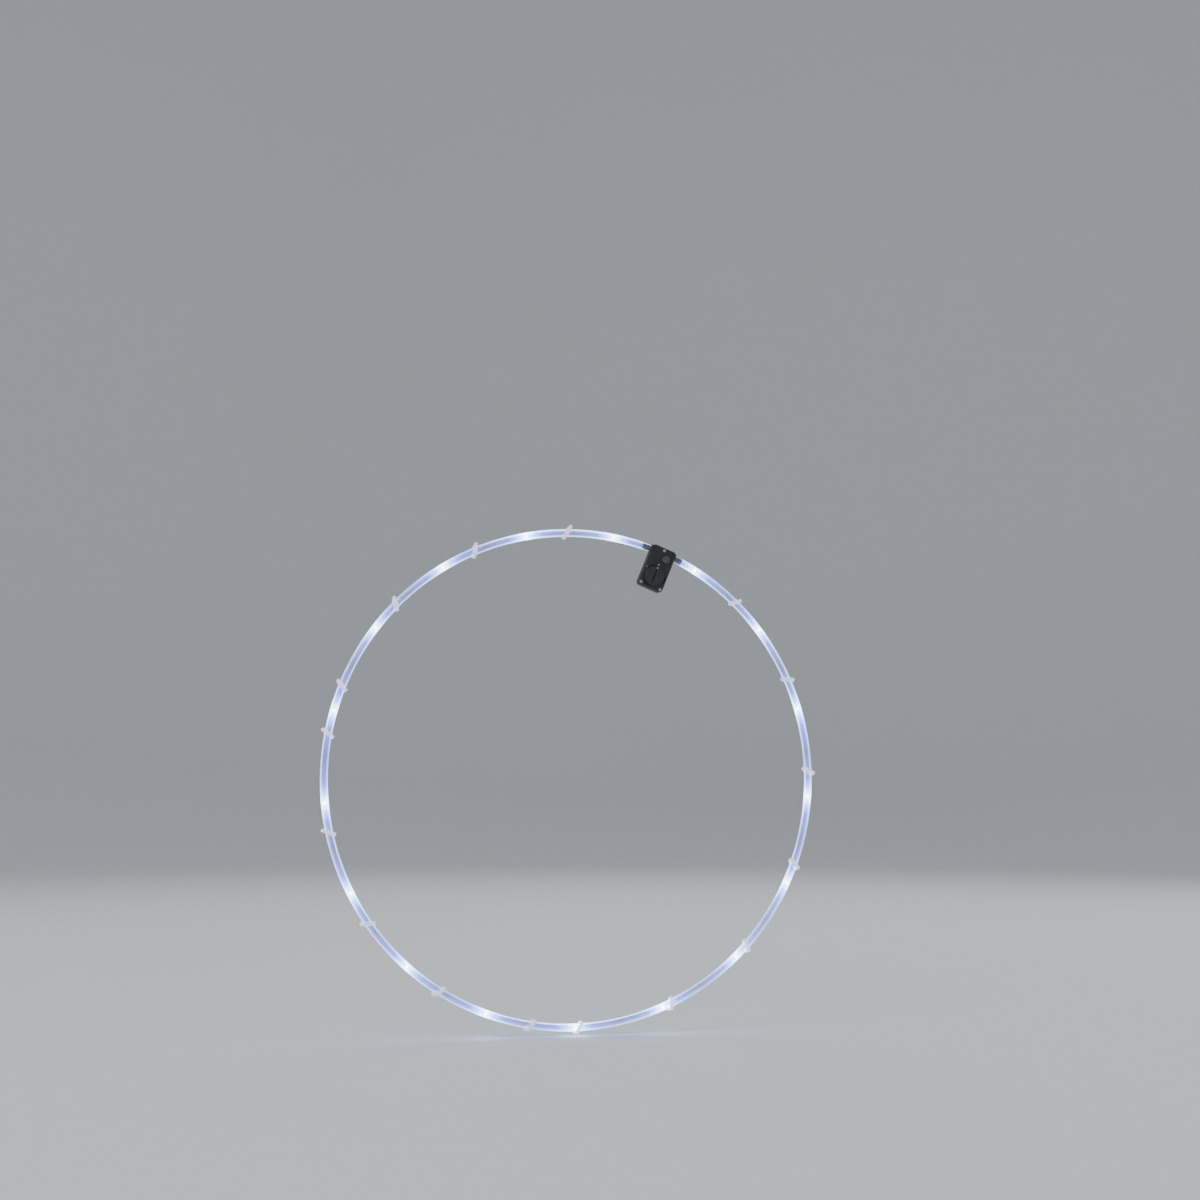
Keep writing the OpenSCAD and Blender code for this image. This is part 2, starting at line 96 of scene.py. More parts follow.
def bevelEdges(bm, edges, width, segments=2, clamp=True, strength="NONE"):
    return bmesh.ops.bevel(
        bm, geom=edges, offset=width, offset_type="OFFSET", affect="EDGES", segments=segments, profile=0.5,
        material=-1, clamp_overlap=clamp, face_strength_mode=strength)["faces"]


def bevelSharp(bm, faces, width, least, segments=2):
    edges = {edge for face in faces for edge in face.edges if len(edge.link_faces) == 2}
    bevelEdges(bm, [edge for edge in edges if edge.calc_face_angle(0) > radians(least)], width, segments)


def movedCube(bm, size, middle):
    block = bmesh.ops.create_cube(bm, size=1)["verts"]
    bmesh.ops.scale(bm, vec=size, verts=block)
    bmesh.ops.translate(bm, vec=middle, verts=block)
    return block


def shapedBlock(bm, size, depth, rounding, finish=0, along=0.0):  # a block with rounded edges
    block = movedCube(bm, size, (along, depth, 0))
    faces = {face for vert in block for face in vert.link_faces}
    for face in faces:
        face.material_index = finish
    made = bevelEdges(bm, list({edge for face in faces for edge in face.edges}), rounding)
    return list(faces & set(bm.faces)) + made


roundedEdge = {
    "leastTurn": 28,  # degrees between the faces of an edge that is rounded
    "room": 2.2,  # shortest edge beside it, in widths of the rounding
    "sharp": 50,  # degrees from which the shading keeps an edge
}


def roundedCopy(name, node, look, body, width, room=roundedEdge["room"]):
    bm = bmesh.new()
    bm.from_mesh(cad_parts[node].data)  # a copy of the CAD piece
    bmesh.ops.remove_doubles(bm, verts=bm.verts, dist=2e-6)
    free = room * width
    roomy = {vert for vert in bm.verts if min(edge.calc_length() for edge in vert.link_edges) > free}
    turned = [edge for edge in bm.edges if edge.calc_face_angle(0) > radians(roundedEdge["leastTurn"])]
    edges = [edge for edge in turned if roomy.issuperset(edge.verts)]
    bevelEdges(bm, edges, width, clamp=False, strength="ALL")
    print(name, "rounded along", len(edges), "edges")
    piece = addPiece(name, bm, look, body, [node], roundedEdge["sharp"])
    evenOut = piece.modifiers.new("flatFaces", "WEIGHTED_NORMAL")  # keeps the flat faces flat in the shading
    evenOut.keep_sharp = True
    evenOut.use_face_influence = True
    evenOut.weight = 100


# Helpers for materials

def newLook(name, **sockets):  # a Principled material with its constants set on its own sockets
    look = bpy.data.materials.new(name)
    look.use_nodes = True
    shader = look.node_tree.nodes["Principled BSDF"]
    for socket, value in sockets.items():
        shader.inputs[socket].default_value = value
    return look, look.node_tree, shader


def addNode(tree, kind, links=None, **settings):
    made = tree.nodes.new("ShaderNode" + kind)
    for key, value in settings.items():
        if hasattr(made, key):
            setattr(made, key, value)
        else:
            made.inputs[key].default_value = value
    for key, source in (links or {}).items():
        tree.links.new(source, made.inputs[key])
    return made


def feed(tree, shader, sources):
    for socket, source in sources.items():
        tree.links.new(source, shader.inputs[socket])


def calc(tree, operation, *values):
    made = addNode(tree, "Math", operation=operation)
    for index, value in enumerate(values):
        if isinstance(value, (int, float)):
            made.inputs[index].default_value = value
        else:
            tree.links.new(value, made.inputs[index])
    return made.outputs[0]


def ramp(tree, factor, stops):
    made = addNode(tree, "ValToRGB", {"Fac": factor})
    points = made.color_ramp.elements
    while len(points) < len(stops):
        points.new(0.5)
    for point, (place, shade) in zip(points, stops):
        point.position = place
        point.color = (shade, shade, shade, 1) if isinstance(shade, float) else (*shade, 1)
    return made.outputs["Color"]


def blendColour(tree, factor, first, second, kind="MIX"):
    made = addNode(tree, "Mix", data_type="RGBA", blend_type=kind)
    for index, value in ((0, factor), (6, first), (7, second)):
        if isinstance(value, (int, float)):
            made.inputs[index].default_value = value
        elif isinstance(value, tuple):
            made.inputs[index].default_value = (*value, 1)
        else:
            tree.links.new(value, made.inputs[index])
    return made.outputs[2]


def darker(tint, share):
    return tuple(share * part for part in tint)


def objectPoint(tree, shift=(0, 0, 0), turn=(0, 0, 0), scale=(1, 1, 1)):
    here = addNode(tree, "TexCoord").outputs["Object"]
    made = addNode(tree, "Mapping", {"Vector": here}, vector_type="POINT")
    made.inputs["Location"].default_value = shift
    made.inputs["Rotation"].default_value = turn
    made.inputs["Scale"].default_value = scale
    return made.outputs["Vector"]


def pointParts(tree, point):
    return addNode(tree, "SeparateXYZ", {"Vector": point}).outputs


def noise(tree, point, scale, detail=3.0, rough=0.55):
    made = addNode(tree, "TexNoise", {"Vector": point}, Scale=scale, Detail=detail, Roughness=rough)
    return made.outputs["Fac"]


def softNormal(tree, width):  # the surface's direction, with its edges softened
    return addNode(tree, "Bevel", samples=6, Radius=width).outputs["Normal"]


def bump(tree, shader, height, depth, strength, rounding=0.0):
    made = addNode(tree, "Bump", {"Height": height}, Strength=strength, Distance=depth)
    if rounding:
        tree.links.new(softNormal(tree, rounding), made.inputs["Normal"])
    tree.links.new(made.outputs["Normal"], shader.inputs["Normal"])


def edgeMask(tree, width, low, high):  # bright where a surface turns, for wear
    flat = addNode(tree, "NewGeometry").outputs["Normal"]
    along = addNode(tree, "VectorMath", {0: softNormal(tree, width), 1: flat}, operation="DOT_PRODUCT")
    return ramp(tree, along.outputs["Value"], [(low, 1.0), (high, 0.0)])


def reachFromAxis(tree, parts):  # distance from the Y axis
    squares = [calc(tree, "POWER", parts[axis], 2) for axis in ("X", "Z")]
    return calc(tree, "SQRT", calc(tree, "ADD", *squares))


def ringPoint(tree):  # angle on from the box, depth, and the way out from the tube's middle
    parts = pointParts(tree, objectPoint(tree, turn=(0, radians(180 - ringSize["boxClock"]), 0)))
    angle = calc(tree, "ADD", calc(tree, "ARCTAN2", parts["X"], parts["Z"]), pi)
    out = calc(tree, "SUBTRACT", reachFromAxis(tree, parts), ringSize["radius"])
    return angle, parts["Y"], out


def lampPhase(tree, angle):  # whole numbers at the lamps
    bays = calc(tree, "MULTIPLY", angle, ringSize["lampCount"] / (2 * pi))
    return calc(tree, "ADD", bays, 0.5 - ringSize["lampShift"] / lampPitch)


def lampAway(tree, angle):  # 0 at a lamp, 1 in the middle of a bay
    return calc(tree, "MULTIPLY", calc(tree, "PINGPONG", lampPhase(tree, angle), 0.5), 2.0)


def rolledOut(tree, angle, depth, out, alongScale=1.0):  # the ring as a straight length
    run = calc(tree, "MULTIPLY", angle, ringSize["radius"] * alongScale)
    return addNode(tree, "CombineXYZ", {"X": run, "Y": depth, "Z": out}).outputs["Vector"]


# Camera at the photograph's viewing angle

cameraSet = {
    "eye": (-0.35172, -1.87937, -0.01001), "aim": (0.0298, 0.0, 0.1885),
    "lens": 54.0, "sensor": 36.0, "nearest": 0.01,
}
camera = bpy.data.objects.new("viewCamera", bpy.data.cameras.new("viewCamera"))
camera.data.lens = cameraSet["lens"]
camera.data.sensor_width = cameraSet["sensor"]
camera.data.clip_start = cameraSet["nearest"]
camera.location = cameraSet["eye"]
sight = Vector(cameraSet["aim"]) - Vector(cameraSet["eye"])
camera.rotation_euler = sight.to_track_quat("-Z", "Y").to_euler()
bpy.context.scene.collection.objects.link(camera)
bpy.context.scene.camera = camera
print("camera set")

# Clear tube: the end of its wall, swept round the ring

tubeMake = {"outer": 0.0040, "bore": 0.00275, "sides": 40, "steps": 420}
tubeFinishAndPaintedGlow = {
    "thin": (0.90, 0.94, 1.0), "thick": (0.97, 0.98, 1.0),
    "paintedGlow": [  # painted glow on the front and back of the tube, from a lamp to the middle of the bay
        (0.0, (0.60, 0.68, 0.85)), (0.09, (0.34, 0.45, 0.78)), (0.18, (0.07, 0.15, 0.60)),
        (0.38, (0.008, 0.024, 0.17)), (1.0, (0.001, 0.004, 0.035))],
    "edge": [  # painted glow on its outer and inner sides, a painted highlight where the wall is seen edge on and carries the light
        (0.0, (0.86, 0.91, 1.0)), (0.12, (0.64, 0.75, 0.98)), (0.30, (0.34, 0.44, 0.86)),
        (0.60, (0.20, 0.26, 0.55)), (1.0, (0.17, 0.22, 0.46))],
    "wall": [(0.70, 0.0), (0.90, 1.0)],  # where the painted edge glow starts, as a share of the radius
    "onBox": [(0.82, 0.06), (0.95, 1.0)],  # painted glow dimmed where the tube sits on the box, in tenths of a radian
    # strength of the tube's painted glow
    "strength": 2.6,
    "drawnOut": 0.12, "streaks": 1600.0, "clouds": 60.0,  # marks of the drawing, stretched along the tube
}


def sweepRing(bm, geom, span, steps):
    made = bmesh.ops.spin(
        bm, geom=geom, cent=(0, 0, 0), axis=(0, 1, 0), angle=radians(span), steps=steps, use_merge=False)
    return [item for item in made["geom_last"] if isinstance(item, bmesh.types.BMEdge)]


def lookClearTube():
    # the tube is no lamp: its emission is painted glow and painted bright edges for the lamps' light in its
    # wall
    look, tree, shader = newLook("clearVinyl", **{
        "Roughness": 0.05, "IOR": 1.47, "Transmission Weight": 0.97, "Coat Weight": 0.3,
        "Coat Roughness": 0.03, "Emission Strength": tubeFinishAndPaintedGlow["strength"]})
    angle, depth, out = ringPoint(tree)
    drawn = rolledOut(tree, angle, depth, out, tubeFinishAndPaintedGlow["drawnOut"])
    streak = noise(tree, drawn, tubeFinishAndPaintedGlow["streaks"], detail=4.0, rough=0.6)
    cloud = noise(tree, rolledOut(tree, angle, depth, out), tubeFinishAndPaintedGlow["clouds"], detail=2.0)
    away = lampAway(tree, angle)
    # the sides get the painted edge glow, the front and back the painted glow
    side = calc(tree, "DIVIDE", calc(tree, "ABSOLUTE", out), tubeMake["outer"])
    side = ramp(tree, side, tubeFinishAndPaintedGlow["wall"])
    paintedGlow = blendColour(tree, side, ramp(tree, away, tubeFinishAndPaintedGlow["paintedGlow"]), ramp(tree, away, tubeFinishAndPaintedGlow["edge"]))
    fromBox = calc(tree, "MULTIPLY", calc(tree, "PINGPONG", angle, pi), 10.0)
    feed(tree, shader, {
        "Base Color": blendColour(tree, cloud, tubeFinishAndPaintedGlow["thin"], tubeFinishAndPaintedGlow["thick"]),
        "Roughness": ramp(tree, streak, [(0.30, 0.02), (0.75, 0.09)]),
        "Emission Color": blendColour(tree, 1.0, paintedGlow, ramp(tree, fromBox, tubeFinishAndPaintedGlow["onBox"]), "MULTIPLY"),
    })
    bump(tree, shader, streak, depth=0.00006, strength=0.5)
    return look


bm = bmesh.new()
bmesh.ops.create_circle(bm, cap_ends=True, segments=tubeMake["sides"], radius=tubeMake["outer"])
bm.faces.ensure_lookup_table()
disc = bm.faces[0]
wall = (tubeMake["outer"] - tubeMake["bore"]) * cos(pi / tubeMake["sides"])
bmesh.ops.inset_individual(bm, faces=[disc], thickness=wall, depth=0)
bmesh.ops.delete(bm, geom=[disc], context="FACES_ONLY")  # leaves the end of the wall
tubeStart = onRing(ringSize["boxClock"] + ringSize["boxGap"])
bmesh.ops.transform(bm, matrix=tubeStart @ Matrix.Rotation(radians(90), 4, "Y"), verts=bm.verts)
sweepRing(bm, bm.verts[:] + bm.edges[:] + bm.faces[:], 360 - 2 * ringSize["boxGap"], tubeMake["steps"])
bmesh.ops.recalc_face_normals(bm, faces=bm.faces)
addPiece("clearTube", bm, lookClearTube(), "ring", ["light_tube"])
print("clear tube made")

# Pair of wires in the tube

wireMake = {
    "radius": 0.00045, "apart": 0.0008, "depth": 0.00115, "sides": 12, "steps": 400,
    "start": 24.65, "end": 371.23,  # clock angles of the two ends
    "drawnOut": 0.25, "mottle": 2200.0,  # marks stretched along the wire
    "feedTint": (0.66, 0.60, 0.72), "returnTint": (0.50, 0.46, 0.60),
    # painted glow on the wires, from a lamp to the middle of the bay
    "paintedGlow": [(0.0, (0.9, 0.94, 1.0)), (0.2, (0.42, 0.52, 1.0)), (1.0, (0.20, 0.27, 0.80))],
}


def lookWire(name, tint):
    # the wires are no lamp: their emission is painted glow from the lamps' light
    look, tree, shader = newLook(name, **{"Roughness": 0.42, "Emission Strength": 0.12})
    angle, depth, out = ringPoint(tree)
    mottle = noise(tree, rolledOut(tree, angle, depth, out, wireMake["drawnOut"]), wireMake["mottle"])
    feed(tree, shader, {
        "Base Color": blendColour(tree, mottle, darker(tint, 0.82), tint),
        "Roughness": ramp(tree, mottle, [(0.3, 0.34), (0.7, 0.52)]),
        "Emission Color": ramp(tree, lampAway(tree, angle), wireMake["paintedGlow"]),
    })
    bump(tree, shader, mottle, depth=0.00003, strength=0.5)
    return look


def wireBuild(name, side, node, tint):
    bm = bmesh.new()
    bmesh.ops.create_circle(bm, cap_ends=False, segments=wireMake["sides"], radius=wireMake["radius"])
    place = onRing(wireMake["start"]) @ Matrix.Translation((0, wireMake["depth"], side * wireMake["apart"]))
    bmesh.ops.transform(bm, matrix=place @ Matrix.Rotation(radians(90), 4, "Y"), verts=bm.verts)
    first = bm.edges[:]
    last = sweepRing(bm, bm.verts[:] + first, wireMake["end"] - wireMake["start"], wireMake["steps"])
    for end in (first, last):
        bmesh.ops.holes_fill(bm, edges=end, sides=0)
    bmesh.ops.recalc_face_normals(bm, faces=bm.faces)
    addPiece(name, bm, lookWire(name + "Vinyl", tint), "ring", [node])


wireBuild("feedWireSleeve", 1, "feed_wire", wireMake["feedTint"])
wireBuild("returnWireSleeve", -1, "return_wire", wireMake["returnTint"])
print("wires made")

# Ties: one template, set down at each tied place

tieMake = {
    "places": 32, "shift": -1.5,  # evenly spaced places round the ring, and the clock angle of the first
    "tied": [0, 4, 6, 8, 10, 12, 14, 16, 17, 19, 21, 23, 25, 26, 28, 30],
    "headInFront": [0, 26, 28, 30],  # the others have it at the back
    "slant": 30, "width": 0.0036, "thick": 0.0011, "half": 0.005758, "rounding": 0.00028,
    "tooth": 0.0009, "cornerSteps": 8,
    "tubeY": 0.0041, "farY": -0.0062, "tubeRound": 0.0034, "farRound": 0.0015,
    "head": (0.0052, 0.0036, 0.0052), "headTop": (0.86, 1, 0.72), "headRounding": 0.00042,
    "mouthWall": 0.0006, "mouthDeep": -0.0004,  # the tail comes out of the mouth
    "tail": 0.0060, "tailLift": 0.0004, "tailSlack": 0.0002, "tailCuts": 16, "toothDeep": 0.00022,
    "tailFree": 0.0027, "bendFrom": 0.0030, "bendOver": 0.0056, "bend": 0.00030, "askew": 0.00022,
}
tieTintAndPaintedGlow = {
    "clear": (0.94, 0.94, 0.92), "cloudy": (0.86, 0.85, 0.81), "grime": (0.62, 0.59, 0.53),
    # painted glow on the ties, from a lamp to the middle of the bay
    "paintedGlow": [(0.0, (0.95, 0.98, 1.0)), (0.35, (0.66, 0.74, 1.0)), (1.0, (0.46, 0.53, 0.80))],
}


def cornerPoints(y, z, radius, first):  # a quarter of a circle, from its first angle on
    steps = tieMake["cornerSteps"]
    turns = [radians(first + 90 * step / steps) for step in range(steps + 1)]
    return [(y + radius * cos(turn), z + radius * sin(turn)) for turn in turns]


def tieOutline(grow):
    near, far, half = tieMake["tubeRound"], tieMake["farRound"], tieMake["half"]
    back, front = tieMake["tubeY"] - near, tieMake["farY"] + far
    corners = [(back, half - near, near, 0), (front, half - far, far, 90),
               (front, far - half, far, 180), (back, near - half, near, 270)]
    return [point for y, z, radius, first in corners for point in cornerPoints(y, z, radius + grow, first)]


def closedLoop(bm, points, x):
    verts = [bm.verts.new((x, y, z)) for y, z in points]
    return verts, [bm.edges.new((verts[index - 1], verts[index])) for index in range(len(verts))]


def tieBand(bm, run):
    half = tieMake["width"] / 2
    outer, outerEdges = closedLoop(bm, tieOutline(tieMake["thick"]), -half)
    inner, innerEdges = closedLoop(bm, tieOutline(0), -half)
    reach = 0.0
    for index, vert in enumerate(inner):  # length round the band, for the teeth
        reach += (vert.co - inner[index - 1].co).length if index else 0.0
        vert[run] = outer[index][run] = reach
    side = bmesh.ops.bridge_loops(bm, edges=outerEdges + innerEdges)["faces"]
    grown = bmesh.ops.extrude_face_region(bm, geom=side)["geom"]
    moved = [item for item in grown if isinstance(item, bmesh.types.BMVert)]
    bmesh.ops.translate(bm, vec=(2 * half, 0, 0), verts=moved)
    bmesh.ops.recalc_face_normals(bm, faces=bm.faces)
    bevelSharp(bm, bm.faces[:], tieMake["rounding"], least=50)


def tieHead(bm):  # a block with its top drawn in and a mouth for the tail
    low = tieMake["tubeY"] + tieMake["thick"] / 2
    middle = low + tieMake["head"][1] / 2
    block = movedCube(bm, tieMake["head"], (0, middle, 0))
    top = [vert for vert in block if vert.co.y > middle]
    bmesh.ops.scale(bm, vec=tieMake["headTop"], verts=top)
    sides = list({face for vert in block for face in vert.link_faces})
    mouth = max(sides, key=lambda face: face.normal.z)
    bmesh.ops.inset_individual(bm, faces=[mouth], thickness=tieMake["mouthWall"], depth=tieMake["mouthDeep"])
    sides = list({face for vert in block for face in vert.link_faces})
    bevelSharp(bm, sides, tieMake["headRounding"], least=35, segments=3)


def tieTail(bm, run):  # toothed towards the tube, with a cut end that lies askew and lifts a little
    low = tieMake["tubeY"] + tieMake["thick"] + tieMake["tailLift"]
    long = tieMake["head"][2] / 2 + tieMake["tail"]
    wide = tieMake["width"] - tieMake["tailSlack"]
    strip = movedCube(bm, (wide, tieMake["thick"], long), (0, low + tieMake["thick"] / 2, long / 2))
    for vert in strip:
        vert[run] = vert.co.z
    edges = {edge for vert in strip for edge in vert.link_edges}
    lengthwise = [edge for edge in edges if abs(edge.verts[0].co.z - edge.verts[1].co.z) > long / 2]
    bmesh.ops.subdivide_edges(bm, edges=lengthwise, cuts=tieMake["tailCuts"], use_grid_fill=True)
    for vert in bm.verts:
        if vert.co.z <= tieMake["tailFree"] or vert.co.y <= low - 1e-5:
            continue
        vert[run] = vert.co.z
        tooth = round(vert.co.z / long * (tieMake["tailCuts"] + 1)) % 2
        share = max(0.0, (vert.co.z - tieMake["bendFrom"]) / tieMake["bendOver"])
        if vert.co.y < low + 1e-5 and tooth:
            vert.co.y += tieMake["toothDeep"]
        vert.co.y += tieMake["bend"] * share * share
        vert.co.z -= tieMake["askew"] * share * (2 * vert.co.x / wide + 1.0) * 0.5


def tieTemplate():
    bm = bmesh.new()
    run = bm.verts.layers.float.new("bandRun")
    tieBand(bm, run)
    tieHead(bm)
    tieTail(bm, run)
    bmesh.ops.dissolve_degenerate(bm, dist=2e-6, edges=bm.edges[:])  # slivers at the head's corners
    return keepTemplate("tieTemplate", bm)


def lookTie():
    # the ties are no lamp: their emission is painted glow, which makes them bright
    look, tree, shader = newLook("milkyNylon", **{
        "Roughness": 0.42, "IOR": 1.53, "Subsurface Weight": 0.12, "Subsurface Scale": 0.0012,
        "Subsurface Radius": (1.0, 0.95, 0.85), "Coat Weight": 0.3, "Coat Roughness": 0.15,
        "Transmission Weight": 0.35, "Emission Strength": 0.55})
    point = objectPoint(tree)
    cloud = noise(tree, point, 420.0)
    grime = ramp(tree, noise(tree, point, 90.0, detail=4.0, rough=0.65), [(0.52, 0.0), (0.78, 0.45)])
    shade = blendColour(tree, cloud, tieTintAndPaintedGlow["cloudy"], tieTintAndPaintedGlow["clear"])
    feed(tree, shader, {
        "Base Color": blendColour(tree, grime, shade, tieTintAndPaintedGlow["grime"]),
        "Roughness": ramp(tree, cloud, [(0.3, 0.34), (0.7, 0.52)]),
        "Emission Color": ramp(tree, lampAway(tree, ringPoint(tree)[0]), tieTintAndPaintedGlow["paintedGlow"]),
    })
    run = addNode(tree, "Attribute", attribute_name="bandRun", attribute_type="GEOMETRY").outputs["Fac"]
    teeth = calc(tree, "FRACT", calc(tree, "MULTIPLY", run, 1 / tieMake["tooth"]))
    height = calc(tree, "ADD", calc(tree, "MULTIPLY", teeth, 0.8), calc(tree, "MULTIPLY", cloud, 0.5))
    bump(tree, shader, height, depth=0.00010, strength=0.6)
    return look


tieOne = tieTemplate()
bm = bmesh.new()
bm.verts.layers.float.new("bandRun")
for number in tieMake["tied"]:
    place = onRing(tieMake["shift"] + number * 360 / tieMake["places"])
    if number in tieMake["headInFront"]:
        place = place @ Matrix.Scale(-1, 4, (0, 1, 0))
    setDown(bm, tieOne, place @ Matrix.Rotation(radians(tieMake["slant"]), 4, "Y"))
bmesh.ops.recalc_face_normals(bm, faces=bm.faces)
addPiece("nylonTies", bm, lookTie(), "ring", ["zip_ties"], sharp=32)
bpy.data.meshes.remove(tieOne)
print("ties made")

# Lamps, with their boards and resistors

lampMake = {
    "package": (0.0028, 0.0011, 0.0028), "middle": -0.0007, "rounding": 0.00016,
    "cup": 0.00028, "cupDepth": -0.00015,
    "domeRadius": 0.0013, "domeMiddle": -0.00085, "domeCut": -0.00105, "domeSteps": (28, 14),
    "tab": (0.0034, 0.00022, 0.0015), "tabMiddle": -0.00027, "tabRounding": 0.00006,
    "shine": (0.50, 0.68, 1.0), "strength": 45.0,
    # the last tint is painted glow on the package, for light spilled from its dome
    "dark": (0.80, 0.82, 0.86), "light": (0.93, 0.94, 0.97), "paintedGlowTint": (0.55, 0.68, 1.0, 1),
}
solderFinish = {"dark": (0.52, 0.52, 0.53), "light": (0.78, 0.77, 0.75)}
boardMake = {
    "size": (0.0090, 0.0008, 0.0032), "middle": 0.00025, "rounding": 0.00010,
    "pad": (0.0011, 0.00008, 0.0024), "padAt": 0.00375, "padMiddle": -0.00016, "padRounding": 0.00003,
    "jointAt": (0.0036, 0.00100, 0.0008), "jointRadius": 0.0006, "jointShape": (1.25, 0.70, 0.90),
    "jointSteps": (16, 10), "track": 0.0008, "trackHalf": 0.00025, "trackTint": (0.52, 0.56, 0.60),
    # the last tint is the painted glow of the lamps' light on the board
    "dark": (0.66, 0.70, 0.74), "light": (0.82, 0.85, 0.88), "paintedGlowTint": (0.45, 0.55, 1.0, 1),
}
resistorMake = {
    "along": 0.0031, "rounding": 0.00006,  # place along the tube from its lamp
    "bareHalf": 0.00062, "bareTint": (0.74, 0.73, 0.70),  # its ends are bare metal from here on
    "dark": (0.012, 0.012, 0.014), "light": (0.035, 0.035, 0.038),
}


def ballOf(bm, radius, steps, finish):
    ball = bmesh.ops.create_uvsphere(bm, u_segments=steps[0], v_segments=steps[1], radius=radius)["verts"]
    for face in {face for vert in ball for face in vert.link_faces}:
        face.material_index = finish
    return ball


def lampTemplate():  # package with a cup, tinned tabs and a clear dome that faces the front
    bm = bmesh.new()
    faces = shapedBlock(bm, lampMake["package"], lampMake["middle"], lampMake["rounding"])
    widest = max(face.calc_area() for face in faces)
    wide = [face for face in faces if face.calc_area() > 0.5 * widest]  # front and back of the package
    cup = min(wide, key=lambda face: face.calc_center_median().y)
    bmesh.ops.inset_individual(bm, faces=[cup], thickness=lampMake["cup"], depth=lampMake["cupDepth"])
    shapedBlock(bm, lampMake["tab"], lampMake["tabMiddle"], lampMake["tabRounding"], finish=2)
    dome = ballOf(bm, lampMake["domeRadius"], lampMake["domeSteps"], finish=1)
    bmesh.ops.rotate(bm, cent=(0, 0, 0), matrix=Matrix.Rotation(radians(90), 3, "X"), verts=dome)
    bmesh.ops.translate(bm, vec=(0, lampMake["domeMiddle"], 0), verts=dome)
    ball = list({part for vert in dome for part in (*vert.link_faces, *vert.link_edges)}) + dome
    cut = bmesh.ops.bisect_plane(
        bm, geom=ball, plane_co=(0, lampMake["domeCut"], 0), plane_no=(0, 1, 0), clear_outer=True)
    cutEdges = [part for part in cut["geom_cut"] if isinstance(part, bmesh.types.BMEdge)]
    for face in bmesh.ops.contextual_create(bm, geom=cutEdges)["faces"]:
        face.material_index = 1
    return keepTemplate("lampTemplate", bm)


def boardTemplate():  # board with front pads and, at the back, the soldered joints of the two wires
    bm = bmesh.new()
    shapedBlock(bm, boardMake["size"], boardMake["middle"], boardMake["rounding"])
    along, back, out = boardMake["jointAt"]
    for side in (-1, 1):
        shapedBlock(bm, boardMake["pad"], boardMake["padMiddle"], boardMake["padRounding"],
                    finish=1, along=side * boardMake["padAt"])
        for wire in (-1, 1):
            joint = ballOf(bm, boardMake["jointRadius"], boardMake["jointSteps"], finish=1)
            bmesh.ops.scale(bm, vec=boardMake["jointShape"], verts=joint)
            bmesh.ops.translate(bm, vec=(side * along, back, wire * out), verts=joint)
    return keepTemplate("boardTemplate", bm)


def lookLampBody():
    # the package's emission is painted glow from the dome's light
    look, tree, shader = newLook("lampPackage", **{
        "Roughness": 0.4, "Emission Strength": 0.6, "Emission Color": lampMake["paintedGlowTint"]})
    speck = noise(tree, objectPoint(tree), 2600.0, detail=2.0)
    feed(tree, shader, {
        "Base Color": blendColour(tree, speck, lampMake["dark"], lampMake["light"]),
        "Roughness": ramp(tree, speck, [(0.3, 0.32), (0.7, 0.50)]),
    })
    bump(tree, shader, speck, depth=0.00002, strength=0.4)
    return look


def lookLampDome():  # brightest at the top of the dome
    look, tree, shader = newLook("litDome", **{"Roughness": 0.12, "Emission Strength": lampMake["strength"]})
    top = lampMake["domeMiddle"] - lampMake["domeRadius"]
    height = calc(tree, "MULTIPLY", pointParts(tree, objectPoint(tree))["Y"], 1 / top)
    feed(tree, shader, {
        "Base Color": ramp(tree, height, [(0.5, (0.85, 0.88, 0.95)), (1.0, (0.95, 0.97, 1.0))]),
        "Emission Color": ramp(
            tree, height, [(0.50, darker(lampMake["shine"], 0.55)), (0.85, lampMake["shine"])]),
    })
    return look


def lookSolder():
    look, tree, shader = newLook("tinnedSolder", **{"Metallic": 1.0, "Roughness": 0.3})
    grain = noise(tree, objectPoint(tree), 2400.0)
    feed(tree, shader, {
        "Base Color": blendColour(tree, grain, solderFinish["dark"], solderFinish["light"]),
        "Roughness": ramp(tree, grain, [(0.3, 0.20), (0.7, 0.42)]),
    })
    bump(tree, shader, grain, depth=0.00003, strength=0.6)
    return look


def lookLampBoard():
    # the board is no lamp: its emission is painted glow from the lamps
    look, tree, shader = newLook("lampBoardMask", **{
        "Roughness": 0.35, "Emission Strength": 0.25, "Emission Color": boardMake["paintedGlowTint"]})
    angle, depth, out = ringPoint(tree)
    grain = noise(tree, rolledOut(tree, angle, depth, out), 3000.0, detail=2.0)
    lane = calc(tree, "COMPARE", calc(tree, "ABSOLUTE", out), boardMake["track"], boardMake["trackHalf"])
    mask = blendColour(tree, grain, boardMake["dark"], boardMake["light"])
    feed(tree, shader, {
        "Base Color": blendColour(tree, calc(tree, "MULTIPLY", lane, 0.5), mask, boardMake["trackTint"]),
        "Roughness": ramp(tree, grain, [(0.3, 0.28), (0.7, 0.42)]),
    })
    bump(tree, shader, calc(tree, "ADD", grain, lane), depth=0.00004, strength=0.6)
    return look


